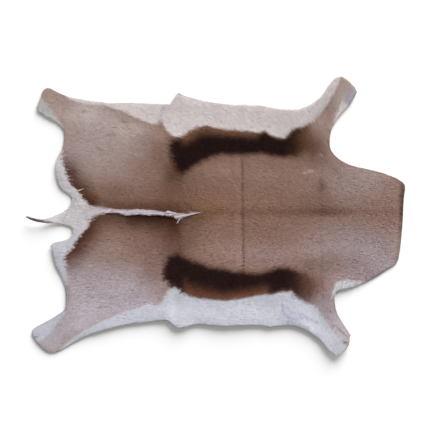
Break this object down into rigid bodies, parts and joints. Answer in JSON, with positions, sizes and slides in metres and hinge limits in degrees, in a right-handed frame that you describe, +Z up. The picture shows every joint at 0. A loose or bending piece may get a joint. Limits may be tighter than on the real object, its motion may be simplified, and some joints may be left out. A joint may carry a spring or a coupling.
{
  "type": "springbok hide",
  "caption": "Springbok hide tanned with its hair on, laid flat hair side up: taupe saddle between dark flank bands, white belly and rump, a long white crest and a short tail.",
  "frame": {"origin": "on the floor, under the middle of the hide's box", "axes": "+X along the spine towards the neck, +Y towards the hide's left legs, +Z up out of the hair side"},
  "size_m": [1.1341, 0.8356, 0.0298],
  "materials": {
    "coat": "short lying hair on soft tanned skin, matt"
  },
  "bodies": {
    "root": {"hide": "coat"}
  },
  "joints": []
}
